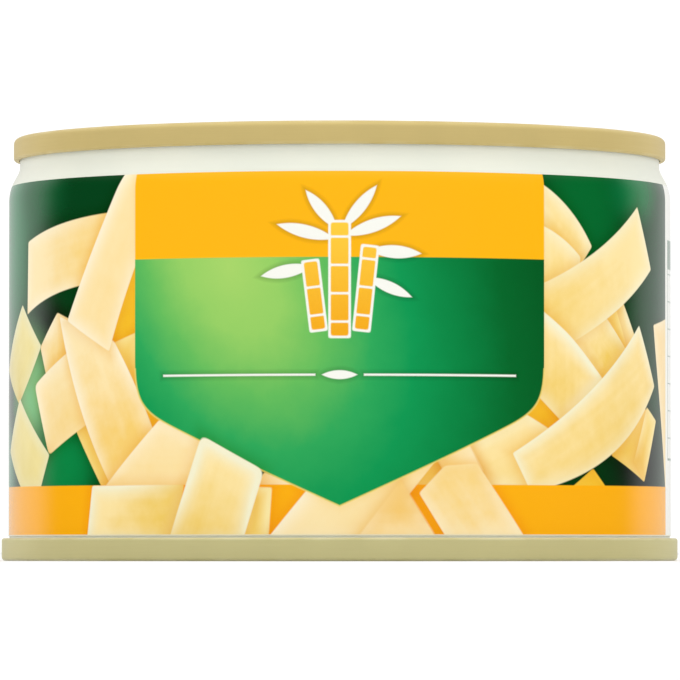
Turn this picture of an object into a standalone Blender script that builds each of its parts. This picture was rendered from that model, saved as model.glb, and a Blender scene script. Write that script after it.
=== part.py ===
"""A low, wide sealed food can: welded tinplate body, two seamed ends, paper wrap and sliced contents.

Metres, +Z up. The origin is the centre of the can's base, on the surface that it stands on.
The front of the label faces -Y, and the label's lap is on the left, just behind -X.
"""

import math
import random

import bmesh
import bpy
from mathutils import Euler, Vector

MM = 0.001
FULL_TURN = 2 * math.pi

# Driving dimensions
CAN_HEIGHT = 54.5 * MM
TOP_SEAM_RADIUS = 42.15 * MM
BASE_SEAM_RADIUS = 43.65 * MM
SEAM_HEIGHT = 2.9 * MM
NECK_RADIUS = 41.35 * MM
NECK_BOTTOM = 50.5 * MM
WALL_RADIUS = 42.45 * MM
SHOULDER_BOTTOM = 48.2 * MM
LABEL_BOTTOM = 3.2 * MM
LABEL_TOP = 48.0 * MM
LABEL_START_BEARING = math.radians(157.5)
LABEL_LAP_ANGLE = math.radians(11.25)
PAPER = 0.10 * MM
SHEET = 0.25 * MM
CLEARANCE = 0.25 * MM
COMPOUND_HEIGHT = 0.3 * MM
SHOULDER_STEPS = 4
LABEL_LAP_STEPS = 3
SEGMENTS = 48
MERGE_DISTANCE = 0.01 * MM
SHARP_ANGLE = math.radians(30)

# The seamed ends, measured down from the top of their seam
TOP_SEAM_CORNER = 0.8 * MM
BASE_SEAM_CORNER = 0.5 * MM
SEAM_INNER_CHAMFER = 0.3 * MM
SEAM_FOOT = 0.2 * MM
COUNTERSINK_DEPTH = 3.7 * MM
COUNTERSINK_WIDTH = 1.6 * MM
COUNTERSINK_OUTER_BEND = 0.4 * MM
COUNTERSINK_INNER_BEND = (0.1 * MM, 0.2 * MM)
COUNTERSINK_INNER_FOOT = 0.5 * MM
CHUCK_WALL_DRAFT = 0.15 * MM
PANEL_SHOULDER_DEPTH = 2.6 * MM
PANEL_SHOULDER_RUN = 0.8 * MM
PANEL_SHOULDER_BEND = (0.2 * MM, 0.3 * MM)
PANEL_STEP = 0.5 * MM
PANEL_STEP_RUN = 1.0 * MM
PANEL_STEP_RADII = (34.0 * MM, 26.5 * MM)

# The sliced contents
LAYERS = 8
CONTENTS_BOTTOM = 4.4 * MM
CONTENTS_TOP = 47.6 * MM
SLICE_THICKNESS = 3.4 * MM
SLICE_BENDS = 5
COLUMN_GAP = 2.0 * MM
INNER_SLICE = (34.5 * MM, 16.6 * MM)
OUTER_SLICE = (33.0 * MM, 15.6 * MM)
SLICE_LENGTH_SHARES = (0.95, 1.0)
SLICE_WIDTH_SHARES = (0.93, 1.0)
SLICE_ARCHES = (0.5 * MM, 1.2 * MM)
SLICE_TAPERS = (0.0, 0.22)
SLICE_LIFTS = (0.0, 0.4 * MM)
SLICE_SKEWS = (math.radians(-2.5), math.radians(2.5))
LAYER_TURN = math.radians(137.5)
SEED = 307

# Finishes: colour, roughness and metallic
BODY_ENAMEL = (0.86, 0.87, 0.80), 0.35, 0.0
GOLD_LACQUER = (0.56, 0.47, 0.17), 0.4, 0.6
KHAKI_LACQUER = (0.48, 0.44, 0.20), 0.4, 0.6
COMPOUND_GREY = (0.55, 0.53, 0.48), 0.8, 0.0
LABEL_GREEN = (0.01, 0.28, 0.08), 0.3, 0.0
SHOOT_CREAM = (0.95, 0.80, 0.42), 0.5, 0.0


def clear_scene():
    """Removes whatever the scene holds."""
    for thing in list(bpy.data.objects):
        bpy.data.objects.remove(thing)


def new_collection(name):
    """A collection of this name in the scene."""
    collection = bpy.data.collections.new(name)
    bpy.context.scene.collection.children.link(collection)
    return collection


def finish(name, colour, roughness, metallic):
    """A Principled material."""
    material = bpy.data.materials.new(name)
    material.use_nodes = True
    shader = material.node_tree.nodes["Principled BSDF"]
    shader.inputs["Base Color"].default_value = (*colour, 1.0)
    shader.inputs["Roughness"].default_value = roughness
    shader.inputs["Metallic"].default_value = metallic
    return material


def add_part(name, mesh, collection, material):
    """An object of this mesh, in the collection, wearing the material, smooth between its sharp edges."""
    part = bpy.data.objects.new(name, mesh)
    collection.objects.link(part)
    mesh.materials.append(material)
    mesh.shade_smooth()
    mesh.set_sharp_from_angle(angle=SHARP_ANGLE)
    return part


def profile_mesh(name, points, closed):
    """A line of (radius, height) points in the XZ plane, for the Screw modifier to turn."""
    mesh = bpy.data.meshes.new(name)
    edges = [(i, i + 1) for i in range(len(points) - 1)]
    if closed:
        edges.append((len(points) - 1, 0))
    mesh.from_pydata([(radius, 0.0, height) for radius, height in points], edges, [])
    return mesh


def turn(part):
    """Turns a part's profile a full turn about Z."""
    screw = part.modifiers.new("Turn", "SCREW")
    screw.angle = FULL_TURN
    screw.steps = SEGMENTS
    screw.render_steps = SEGMENTS
    screw.use_merge_vertices = True
    screw.merge_threshold = MERGE_DISTANCE
    screw.use_smooth_shade = True


def thicken(part, thickness, offset=-1.0):
    """Gives an open surface its thickness, on the inside of its faces unless told otherwise."""
    shell = part.modifiers.new("Thickness", "SOLIDIFY")
    shell.thickness = thickness
    shell.offset = offset
    shell.use_even_offset = True


def end_profile(seam_radius, seam_corner, wall_radius):
    """The outside of an end from its centre to the lip of its curl, with the seam's top at height 0.

    seam_corner rounds the seam's outer edge. wall_radius is the outside of the body's wall, which the
    chuck wall lines and the lip turns in to.
    """
    chuck_radius = wall_radius - SHEET - CLEARANCE - SHEET
    lip_radius = wall_radius + CLEARANCE
    points = [(0.0, panel_height(len(PANEL_STEP_RADII)))]
    for steps_inside, radius in reversed(list(enumerate(PANEL_STEP_RADII))):
        points.append((radius - PANEL_STEP_RUN, panel_height(steps_inside + 1)))
        points.append((radius, panel_height(steps_inside)))
    groove_outer = chuck_radius - CHUCK_WALL_DRAFT
    groove_inner = groove_outer - COUNTERSINK_WIDTH
    points += [
        (groove_inner - PANEL_SHOULDER_RUN, -PANEL_SHOULDER_DEPTH),
        (groove_inner - PANEL_SHOULDER_BEND[0], -PANEL_SHOULDER_DEPTH - PANEL_SHOULDER_BEND[1]),
        (groove_inner + COUNTERSINK_INNER_BEND[0], -COUNTERSINK_DEPTH + COUNTERSINK_INNER_BEND[1]),
        (groove_inner + COUNTERSINK_INNER_FOOT, -COUNTERSINK_DEPTH),
        (groove_outer - COUNTERSINK_OUTER_BEND, -COUNTERSINK_DEPTH),
        (groove_outer, -COUNTERSINK_DEPTH + COUNTERSINK_OUTER_BEND),
        (chuck_radius, -SEAM_INNER_CHAMFER),
        (chuck_radius + SEAM_INNER_CHAMFER, 0.0),
    ]
    corner_centre = seam_radius - seam_corner
    for angle in (90, 45, 0):
        reach = Vector((math.cos(math.radians(angle)), math.sin(math.radians(angle)))) * seam_corner
        points.append((corner_centre + reach.x, reach.y - seam_corner))
    points += [
        (seam_radius, -SEAM_HEIGHT + SEAM_FOOT),
        (seam_radius - SEAM_FOOT, -SEAM_HEIGHT),
        (lip_radius, -SEAM_HEIGHT),
    ]
    return points


def panel_height(steps):
    """The height of the panel after this many steps in from its shoulder."""
    return -PANEL_SHOULDER_DEPTH + steps * PANEL_STEP


def add_end(name, profile, collection, material):
    """A seamed end: countersunk panel with its steps, chuck wall and curl, its seam's top at height 0."""
    mesh = profile_mesh(name, profile, closed=False)
    end = add_part(name, mesh, collection, material)
    turn(end)
    thicken(end, SHEET)
    return end


def hem_levels():
    """How far below the seam's top the body's hem starts and ends."""
    start = SHEET + CLEARANCE + COMPOUND_HEIGHT + CLEARANCE
    end = SEAM_HEIGHT - SHEET - CLEARANCE
    return start, end


def shoulder(bottom_radius, top_radius):
    """The body's necked-in shoulder, top to bottom, as a smooth double bend."""
    points = []
    for step in range(SHOULDER_STEPS + 1):
        share = step / SHOULDER_STEPS
        blend = (1 - math.cos(math.pi * share)) / 2
        radius = top_radius + (bottom_radius - top_radius) * blend
        height = NECK_BOTTOM + (SHOULDER_BOTTOM - NECK_BOTTOM) * share
        points.append((radius, height))
    return points


def body_profile():
    """The body's wall as a closed outline: outside down, round the lower hem, inside up, round the upper."""
    hem_start, hem_end = hem_levels()
    top_hem = TOP_SEAM_RADIUS - SHEET - CLEARANCE
    base_hem = BASE_SEAM_RADIUS - SHEET - CLEARANCE
    outside = [
        (top_hem, CAN_HEIGHT - hem_start),
        (top_hem, CAN_HEIGHT - hem_end),
        (NECK_RADIUS, CAN_HEIGHT - hem_end),
        *shoulder(WALL_RADIUS, NECK_RADIUS),
        (WALL_RADIUS, hem_end),
        (base_hem, hem_end),
        (base_hem, hem_start),
    ]
    inside = [
        (NECK_RADIUS - SHEET, CAN_HEIGHT - hem_start),
        *shoulder(WALL_RADIUS - SHEET, NECK_RADIUS - SHEET),
        (WALL_RADIUS - SHEET, hem_start),
    ]
    return outside + inside[::-1]


def add_body(collection, material):
    """The welded body: straight wall, necked-in shoulder, and a hem at each rim that the ends curl round."""
    mesh = profile_mesh("can_body", body_profile(), closed=True)
    turn(add_part("can_body", mesh, collection, material))


def add_compound(name, wall_radius, outer_radius, collection, material):
    """The ring of sealing compound between a hem and the end over it, its top at height 0."""
    inner_radius = wall_radius - SHEET
    outline = [
        (outer_radius, 0.0),
        (outer_radius, -COMPOUND_HEIGHT),
        (inner_radius, -COMPOUND_HEIGHT),
        (inner_radius, 0.0),
    ]
    ring = add_part(name, profile_mesh(name, outline, closed=True), collection, material)
    turn(ring)
    return ring


def label_radius(angle):
    """The inside of the label at this angle from its hidden edge: it steps out to pass over that edge."""
    lap_start = FULL_TURN - FULL_TURN / SEGMENTS
    step_out = PAPER + CLEARANCE
    share = min(max((angle - lap_start) / (FULL_TURN / SEGMENTS), 0.0), 1.0)
    return WALL_RADIUS + CLEARANCE + step_out * share


def add_label(collection, material):
    """The paper wrap, one turn round the body and on over its own hidden edge."""
    angles = [FULL_TURN * step / SEGMENTS for step in range(SEGMENTS + 1)]
    lap_steps = range(1, LABEL_LAP_STEPS + 1)
    angles += [FULL_TURN + LABEL_LAP_ANGLE * step / LABEL_LAP_STEPS for step in lap_steps]
    shape = bmesh.new()
    rows = []
    for height in (LABEL_BOTTOM, LABEL_TOP):
        row = []
        for angle in angles:
            radius = label_radius(angle)
            bearing = LABEL_START_BEARING + angle
            row.append(shape.verts.new((radius * math.cos(bearing), radius * math.sin(bearing), height)))
        rows.append(row)
    low, high = rows
    for step in range(len(angles) - 1):
        shape.faces.new((low[step], low[step + 1], high[step + 1], high[step]))
    mesh = bpy.data.meshes.new("label")
    shape.to_mesh(mesh)
    shape.free()
    label = add_part("label", mesh, collection, material)
    thicken(label, PAPER, offset=1.0)


def slice_mesh(name, length, width, arch, taper):
    """One slice's underside: a strip that arches along its length and narrows to one end."""
    shape = bmesh.new()
    bmesh.ops.create_grid(shape, x_segments=SLICE_BENDS, y_segments=1, size=0.5)
    for vertex in shape.verts:
        along, across = vertex.co.x * 2, vertex.co.y
        vertex.co = Vector((
            along * length / 2,
            across * width * (1 - taper * (along + 1) / 2),
            arch * (1 - along * along),
        ))
    mesh = bpy.data.meshes.new(name)
    shape.to_mesh(mesh)
    shape.free()
    return mesh


def slice_places():
    """Where a layer's six slices lie and how large they are: two columns of two, and one on each side."""
    inner_along = (COLUMN_GAP + INNER_SLICE[0]) / 2
    inner_across = (COLUMN_GAP + INNER_SLICE[1]) / 2
    outer_across = COLUMN_GAP * 1.5 + INNER_SLICE[1] + OUTER_SLICE[1] / 2
    places = [(end * inner_along, side * inner_across, INNER_SLICE) for side in (-1, 1) for end in (-1, 1)]
    places += [(0.0, side * outer_across, OUTER_SLICE) for side in (-1, 1)]
    return places


def add_slices(collection, material):
    """The sliced bamboo shoot, laid in layers that turn from one to the next."""
    dice = random.Random(SEED)
    pitch = (CONTENTS_TOP - CONTENTS_BOTTOM) / LAYERS
    number = 0
    for layer in range(LAYERS):
        turned = LAYER_TURN * layer
        for along, across, (length, width) in slice_places():
            number += 1
            name = f"shoot_slice_{number:02d}"
            mesh = slice_mesh(
                name,
                length * dice.uniform(*SLICE_LENGTH_SHARES),
                width * dice.uniform(*SLICE_WIDTH_SHARES),
                dice.uniform(*SLICE_ARCHES),
                dice.uniform(*SLICE_TAPERS),
            )
            piece = add_part(name, mesh, collection, material)
            thicken(piece, SLICE_THICKNESS, offset=1.0)
            lift = dice.uniform(*SLICE_LIFTS)
            place = Vector((along, across, CONTENTS_BOTTOM + pitch * layer + lift))
            piece.location = Euler((0.0, 0.0, turned)).to_matrix() @ place
            piece.rotation_euler = (0.0, 0.0, turned + dice.uniform(*SLICE_SKEWS))


def build():
    """Builds the can."""
    clear_scene()
    parts = new_collection("food_can")
    add_body(parts, finish("body_enamel", *BODY_ENAMEL))

    gold = finish("gold_lacquer", *GOLD_LACQUER)
    khaki = finish("khaki_lacquer", *KHAKI_LACQUER)
    top_profile = end_profile(TOP_SEAM_RADIUS, TOP_SEAM_CORNER, NECK_RADIUS)
    add_end("top_end", top_profile, parts, gold).location.z = CAN_HEIGHT
    base_profile = end_profile(BASE_SEAM_RADIUS, BASE_SEAM_CORNER, WALL_RADIUS)
    add_end("bottom_end", base_profile, parts, khaki).rotation_euler.x = math.pi

    grey = finish("seam_compound", *COMPOUND_GREY)
    compound_drop = SHEET + CLEARANCE
    top_ring = add_compound("top_seam_compound", NECK_RADIUS, TOP_SEAM_RADIUS - TOP_SEAM_CORNER, parts, grey)
    top_ring.location.z = CAN_HEIGHT - compound_drop
    base_ring = add_compound(
        "bottom_seam_compound", WALL_RADIUS, BASE_SEAM_RADIUS - BASE_SEAM_CORNER, parts, grey
    )
    base_ring.location.z = compound_drop + COMPOUND_HEIGHT

    add_label(parts, finish("label_paper", *LABEL_GREEN))
    add_slices(parts, finish("shoot_flesh", *SHOOT_CREAM))


build()
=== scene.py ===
"""Looks of a low, wide sealed food can: enamelled body, two lacquered seamed lids and a printed paper wrap.

Metres and +Z up throughout. The front of the wrap faces -Y. The wrap's artwork is laid out in millimetres,
along the wrap and up from the surface that the can stands on.
"""

import logging
import math
from dataclasses import dataclass, field
from enum import Enum
from typing import Any

import bpy
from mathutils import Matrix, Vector


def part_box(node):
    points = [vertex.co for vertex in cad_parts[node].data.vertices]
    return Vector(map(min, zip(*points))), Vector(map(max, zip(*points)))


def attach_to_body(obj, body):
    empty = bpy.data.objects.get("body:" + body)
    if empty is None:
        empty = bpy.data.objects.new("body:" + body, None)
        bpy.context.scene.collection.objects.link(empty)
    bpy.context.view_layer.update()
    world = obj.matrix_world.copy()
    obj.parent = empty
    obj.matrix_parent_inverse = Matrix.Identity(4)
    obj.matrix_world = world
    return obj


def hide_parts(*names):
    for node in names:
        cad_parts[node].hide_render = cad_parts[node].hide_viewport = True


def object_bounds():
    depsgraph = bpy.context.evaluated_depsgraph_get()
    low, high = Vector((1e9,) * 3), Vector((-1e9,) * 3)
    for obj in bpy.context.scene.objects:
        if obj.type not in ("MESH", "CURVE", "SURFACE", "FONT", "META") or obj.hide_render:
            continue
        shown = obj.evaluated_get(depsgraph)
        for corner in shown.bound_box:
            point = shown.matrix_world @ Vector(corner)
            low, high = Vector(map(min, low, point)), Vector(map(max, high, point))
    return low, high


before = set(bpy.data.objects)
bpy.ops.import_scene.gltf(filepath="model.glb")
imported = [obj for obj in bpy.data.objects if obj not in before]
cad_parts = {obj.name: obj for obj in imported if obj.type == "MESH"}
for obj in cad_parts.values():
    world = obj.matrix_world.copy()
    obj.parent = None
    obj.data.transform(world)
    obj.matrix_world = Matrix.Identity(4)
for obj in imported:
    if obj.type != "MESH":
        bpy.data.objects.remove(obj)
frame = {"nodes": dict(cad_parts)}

MM = 0.001
FULL_TURN = 2 * math.pi
BAKE_UV = "OFBake"
CAD_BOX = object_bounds()
SHARP_ANGLE = math.radians(38)
LEAST_ROUNDING = 0.06 * MM
ROUNDING_ROOM = 0.48
ON_AXIS = 1e-7
NO_BEND = 1e-4

log = logging.getLogger("food_can")

Point = tuple[float, float]
Shade = tuple[int, int, int]
Colour = tuple[float, float, float, float]


# ---------------------------------------------------------------- colour and shader tools


def tint(red: int, green: int, blue: int, exposure: float = 1.0) -> Colour:
    """A display colour as a linear one.

    Args:
        red, green, blue: The colour as it is to show, from 0 to 255.
        exposure: How brightly the studio lights a white surface.

    Returns:
        The linear colour with its alpha.
    """
    linear = []
    for level in (red, green, blue):
        share = level / 255
        value = share / 12.92 if share <= 0.04045 else ((share + 0.055) / 1.055) ** 2.4
        linear.append(min(value / exposure, 1.0))
    return (linear[0], linear[1], linear[2], 1.0)


@dataclass(frozen=True)
class Field:
    """A socket whose value varies over a surface. Arithmetic on it adds Math nodes to its graph."""

    graph: "Graph"
    socket: bpy.types.NodeSocket

    def __add__(self, other: "Field | float") -> "Field":
        """This value plus another."""
        return self.graph.math("ADD", self, other)

    def __radd__(self, other: float) -> "Field":
        """A number plus this value."""
        return self.graph.math("ADD", other, self)

    def __sub__(self, other: "Field | float") -> "Field":
        """This value less another."""
        return self.graph.math("SUBTRACT", self, other)

    def __rsub__(self, other: float) -> "Field":
        """A number less this value."""
        return self.graph.math("SUBTRACT", other, self)

    def __mul__(self, other: "Field | float") -> "Field":
        """This value times another."""
        return self.graph.math("MULTIPLY", self, other)

    def __rmul__(self, other: float) -> "Field":
        """A number times this value."""
        return self.graph.math("MULTIPLY", other, self)

    def __neg__(self) -> "Field":
        """This value with its sign turned."""
        return self.graph.math("MULTIPLY", self, -1.0)

    def __abs__(self) -> "Field":
        """This value without its sign."""
        return self.graph.math("ABSOLUTE", self)


Value = Field | float | tuple[float, ...]


@dataclass(frozen=True)
class Graph:
    """The nodes of one material or world."""

    tree: bpy.types.NodeTree

    def node(self, kind: str, settings: dict[str, Any], sockets: dict[Any, Value]) -> bpy.types.Node:
        """Adds a node.

        Args:
            kind: The node's type.
            settings: Its properties, set first. The entry "stops" fills a colour ramp.
            sockets: Values or fields for its inputs, by name or place.

        Returns:
            The node.
        """
        made = self.tree.nodes.new(kind)
        for name, value in settings.items():
            if name == "stops":
                self._fill_ramp(made.color_ramp, value)
            else:
                setattr(made, name, value)
        for key, value in sockets.items():
            if isinstance(value, Field):
                self.tree.links.new(value.socket, made.inputs[key])
            else:
                made.inputs[key].default_value = value
        return made

    @staticmethod
    def _fill_ramp(ramp: bpy.types.ColorRamp, stops: tuple[tuple[float, Colour], ...]) -> None:
        """Gives a colour ramp its stops.

        Args:
            ramp: The ramp.
            stops: Each stop's place and colour, in order.
        """
        for place, _ in stops[1:-1]:
            ramp.elements.new(place)
        for element, (place, colour) in zip(ramp.elements, stops):
            element.position = place
            element.color = colour

    def field(self, node: bpy.types.Node, output: str | int = 0) -> Field:
        """One of a node's outputs as a field."""
        return Field(self, node.outputs[output])

    def math(self, operation: str, *values: Field | float, clamped: bool = False) -> Field:
        """Adds a Math node.

        Args:
            operation: What it works out.
            values: Its inputs in order.
            clamped: Whether its result is kept from 0 to 1.

        Returns:
            Its result.
        """
        settings = {"operation": operation, "use_clamp": clamped}
        return self.field(self.node("ShaderNodeMath", settings, dict(enumerate(values))))

    def larger(self, first: Field | float, second: Field | float, rounding: float = 0.0) -> Field:
        """The larger of two values, with a rounded change-over where asked."""
        if rounding > 0:
            return self.math("SMOOTH_MAX", first, second, rounding)
        return self.math("MAXIMUM", first, second)

    def smaller(self, first: Field | float, second: Field | float) -> Field:
        """The smaller of two values."""
        return self.math("MINIMUM", first, second)

    def line(self, value: Field, slope: float, start: float) -> Field:
        """A value times slope plus start, kept from 0 to 1."""
        return self.math("MULTIPLY_ADD", value, slope, start, clamped=True)

    def step(self, value: Field, at: float, slope: float) -> Field:
        """A straight step between 0 and 1, halfway at this value; it falls where its slope is below 0."""
        return self.line(value, slope, 0.5 - slope * at)

    def ease(self, value: Field, low: float, high: float) -> Field:
        """A smooth rise from 0 at low to 1 at high.

        Args:
            value: What it follows.
            low: Where it is 0.
            high: Where it is 1; below low for a fall.

        Returns:
            The eased share.
        """
        sockets = {0: value, 1: low, 2: high}
        settings = {"interpolation_type": "SMOOTHSTEP"}
        return self.field(self.node("ShaderNodeMapRange", settings, sockets))

    def dot(self, vector: Field, by: tuple[float, float, float]) -> Field:
        """A vector's dot product with a fixed one."""
        made = self.node("ShaderNodeVectorMath", {"operation": "DOT_PRODUCT"}, {0: vector, 1: by})
        return self.field(made, "Value")

    def distance(self, vector: Field, to: tuple[float, float, float]) -> Field:
        """A vector's distance from a fixed point."""
        made = self.node("ShaderNodeVectorMath", {"operation": "DISTANCE"}, {0: vector, 1: to})
        return self.field(made, "Value")

    def length(self, vector: Field) -> Field:
        """A vector's length."""
        return self.field(self.node("ShaderNodeVectorMath", {"operation": "LENGTH"}, {0: vector}), "Value")

    def stretch(self, vector: Field, by: tuple[float, float, float], shift: tuple[float, float, float]) -> Field:
        """A vector times one fixed vector plus another."""
        made = self.node("ShaderNodeVectorMath", {"operation": "MULTIPLY_ADD"}, {0: vector, 1: by, 2: shift})
        return self.field(made)

    def pack(self, x: Value, y: Value, z: Value) -> Field:
        """Three values as a vector."""
        return self.field(self.node("ShaderNodeCombineXYZ", {}, {0: x, 1: y, 2: z}))

    def split(self, vector: Field) -> tuple[Field, Field, Field]:
        """A vector's three values."""
        made = self.node("ShaderNodeSeparateXYZ", {}, {0: vector})
        return self.field(made, 0), self.field(made, 1), self.field(made, 2)

    def mix(self, share: Field | float, first: Value, second: Value, blend: str = "MIX") -> Field:
        """Mixes two colours.

        Args:
            share: How much of the second shows.
            first: The colour below.
            second: The colour above.
            blend: The way they mix.

        Returns:
            The mixed colour.
        """
        settings = {"data_type": "RGBA", "blend_type": blend}
        return self.field(self.node("ShaderNodeMix", settings, {0: share, 6: first, 7: second}), 2)

    def noise(self, place: Field, scale: float, detail: float = 2.0, roughness: float = 0.5) -> Field:
        """Noise from 0 to 1, mostly near 0.5.

        Args:
            place: Where it is sampled.
            scale: Its cycles for each unit of place.
            detail: How many finer layers it has.
            roughness: How strong those are.

        Returns:
            The noise.
        """
        sockets = {"Vector": place, "Scale": scale, "Detail": detail, "Roughness": roughness}
        return self.field(self.node("ShaderNodeTexNoise", {}, sockets))

    def streaks(self, across: Field, detail: float = 2.0) -> Field:
        """Noise from 0 to 1 along one value only, as straight streaks."""
        sockets = {"W": across, "Scale": 1.0, "Detail": detail}
        return self.field(self.node("ShaderNodeTexNoise", {"noise_dimensions": "1D"}, sockets))

    def place(self) -> Field:
        """The place on the object, in metres."""
        return self.field(self.node("ShaderNodeTexCoord", {}, {}), "Object")

    def bump(self, height: Field, depth: float) -> Field:
        """A surface direction from a height from 0 to 1.

        Args:
            height: The relief.
            depth: What a height of 1 stands for, in metres.

        Returns:
            The direction for a shader's Normal.
        """
        made = self.node("ShaderNodeBump", {}, {"Height": height, "Strength": 1.0, "Distance": depth})
        return self.field(made)


@dataclass(frozen=True)
class Finish:
    """A finish: what a surface is coated with or made of."""

    name: str
    exposure: float = 1.09

    def shown(self, colour: Shade) -> Colour:
        """A colour under the studio's light as a linear one for the shader."""
        return tint(*colour, self.exposure)

    def surface(self, graph: Graph) -> dict[str, Value]:
        """What the finish feeds to the surface shader's sockets."""
        raise NotImplementedError

    def material(self) -> bpy.types.Material:
        """The finish as a material."""
        made = bpy.data.materials.new(self.name)
        made.use_nodes = True
        made.node_tree.nodes.clear()
        graph = Graph(made.node_tree)
        shader = graph.node("ShaderNodeBsdfPrincipled", {}, self.surface(graph))
        graph.node("ShaderNodeOutputMaterial", {}, {"Surface": graph.field(shader)})
        return made


# ---------------------------------------------------------------- finishes of metal, paper and flesh


@dataclass(frozen=True)
class LacquerFinish(Finish):
    """Tinted lacquer on tinplate, with the faint lines that the seaming rolls and the press leave."""

    colour: Shade = (222, 198, 127)
    shade: Shade = (216, 193, 124)
    worn: Shade = (236, 224, 178)
    seam_metallic: float = 0.2
    panel_metallic: float = 0.85
    seam_roughness: float = 0.46
    panel_roughness: float = 0.25
    seam_side: float = 40.0 * MM
    seam_blend: float = 0.4 * MM
    seam_heights: tuple[float, float] = (0.0, 2.9 * MM)
    wear_reach: tuple[float, float] = (0.1 * MM, 0.45 * MM)
    line_scale: float = 9000.0
    line_wander: float = 0.0006
    line_tint: Colour = (0.9, 0.89, 0.86, 1.0)
    mottle_scale: float = 160.0
    speck_scale: float = 1500.0
    wave_scale: float = 42.0
    wave_relief: float = 26.0
    relief: float = 0.008 * MM

    def surface(self, graph: Graph) -> dict[str, Value]:
        """Turned lines round the can, mottled lacquer, and wear where the seam is handled."""
        place = graph.place()
        x, y, height = graph.split(place)
        radius = graph.length(graph.pack(x, y, 0.0))
        wander = graph.math("ARCTAN2", y, x) * self.line_wander
        turned = graph.noise(graph.pack(radius, height, wander), self.line_scale, 3.0)
        mottle = graph.noise(place, self.mottle_scale, 3.0, 0.6)
        speck = graph.noise(place, self.speck_scale)
        low, high = self.seam_heights
        close, far = self.wear_reach
        on_seam = graph.ease(radius, self.seam_side, self.seam_side + self.seam_blend)
        near_low = graph.ease(height, low + far, low + close)
        near_high = graph.ease(height, high - far, high - close)
        wear = graph.larger(near_low, near_high) * on_seam * graph.line(mottle, 3.0, -1.2) * 0.5
        base = graph.mix(graph.line(mottle, 1.6, -0.3), self.shown(self.shade), self.shown(self.colour))
        base = graph.mix(graph.line(turned, 3.0, -1.4) * 0.25, base, self.line_tint, "MULTIPLY")
        rough = self.panel_roughness + on_seam * (self.seam_roughness - self.panel_roughness)
        waves = graph.noise(place, self.wave_scale, 1.0) * (1 - on_seam)
        return {
            "Base Color": graph.mix(wear, base, self.shown(self.worn)),
            "Metallic": self.panel_metallic + on_seam * (self.seam_metallic - self.panel_metallic),
            "Roughness": rough + (mottle - 0.5) * 0.05 + (turned - 0.5) * 0.12,
            "Normal": graph.bump(turned * 0.7 + speck * 0.3 + waves * self.wave_relief, self.relief),
        }


@dataclass(frozen=True)
class EnamelFinish(Finish):
    """White enamel on the body, with the clear stripe along the side weld."""

    colour: Shade = (237, 238, 223)
    shade: Shade = (229, 232, 218)
    stripe: Shade = (196, 198, 188)
    stripe_width: float = 7.0 * MM
    stripe_edge: float = 0.25 * MM
    back_reach: float = 10.0 * MM

    def surface(self, graph: Graph) -> dict[str, Value]:
        """Enamel with a slight cloudiness and orange peel."""
        place = graph.place()
        x, y, _ = graph.split(place)
        cloud = graph.noise(place, 55.0, 3.0, 0.55)
        peel = graph.noise(place, 900.0, 2.0)
        behind = graph.ease(y, 0.0, self.back_reach)
        half = self.stripe_width / 2
        near = graph.ease(abs(x), half + self.stripe_edge, half - self.stripe_edge)
        base = graph.mix(graph.line(cloud, 2.4, -0.7), self.shown(self.shade), self.shown(self.colour))
        base = graph.mix(near * behind * 0.8, base, self.shown(self.stripe))
        return {
            "Base Color": base,
            "Roughness": 0.3 + cloud * 0.12,
            "Normal": graph.bump(peel, 0.006 * MM),
        }


@dataclass(frozen=True)
class WeldFinish(Finish):
    """The bare welded lap of the body, dull grey and slightly rippled."""

    colour: Shade = (150, 150, 146)
    dark: Shade = (104, 104, 104)
    nugget_pitch: float = 0.7 * MM

    def surface(self, graph: Graph) -> dict[str, Value]:
        """Weld nuggets one after another up the lap."""
        place = graph.place()
        _, _, height = graph.split(place)
        ripple = graph.math("SINE", height * (FULL_TURN / self.nugget_pitch))
        grain = graph.noise(place, 2600.0, 3.0)
        share = graph.line(ripple * 0.25 + grain, 1.0, 0.0)
        return {
            "Base Color": graph.mix(share, self.shown(self.dark), self.shown(self.colour)),
            "Metallic": 0.7,
            "Roughness": 0.38 + grain * 0.2,
            "Normal": graph.bump(ripple * 0.5 + grain, 0.01 * MM),
        }


@dataclass(frozen=True)
class GrainFinish(Finish):
    """A dull material with a fine grain in two shades: grey rubbery sealing compound unless told otherwise."""

    light: Shade = (150, 146, 136)
    dark: Shade = (118, 115, 108)
    finer_up: float = 1.0
    scale: float = 2200.0
    detail: float = 3.0
    contrast: tuple[float, float] = (2.0, -0.5)
    roughness: tuple[float, float] = (0.7, 0.2)
    relief: float = 0.02 * MM

    def surface(self, graph: Graph) -> dict[str, Value]:
        """The same grain in the colour, the roughness and the relief."""
        along = graph.stretch(graph.place(), (1.0, 1.0, self.finer_up), (0.0, 0.0, 0.0))
        grain = graph.noise(along, self.scale, self.detail, 0.6)
        least, more = self.roughness
        share = graph.line(grain, *self.contrast)
        return {
            "Base Color": graph.mix(share, self.shown(self.dark), self.shown(self.light)),
            "Roughness": least + grain * more,
            "Normal": graph.bump(grain, self.relief),
        }


@dataclass(frozen=True)
class ShootFinish(Finish):
    """The flesh of a bamboo shoot: cream, faintly fibrous and moist."""

    pale: Shade = (255, 234, 184)
    gold: Shade = (243, 204, 112)

    def surface(self, graph: Graph) -> dict[str, Value]:
        """Fibres and soft clouds of a deeper colour."""
        place = graph.place()
        cloud = graph.noise(place, 90.0, 2.0)
        fibre = graph.noise(graph.stretch(place, (1.0, 1.0, 5.0), (0.0, 0.0, 0.0)), 700.0, 2.0)
        share = graph.line(cloud * 0.7 + fibre * 0.3, 2.4, -0.75)
        return {
            "Base Color": graph.mix(share, self.shown(self.pale), self.shown(self.gold)),
            "Roughness": 0.32 + fibre * 0.2,
            "Normal": graph.bump(fibre, 0.05 * MM),
        }


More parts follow.
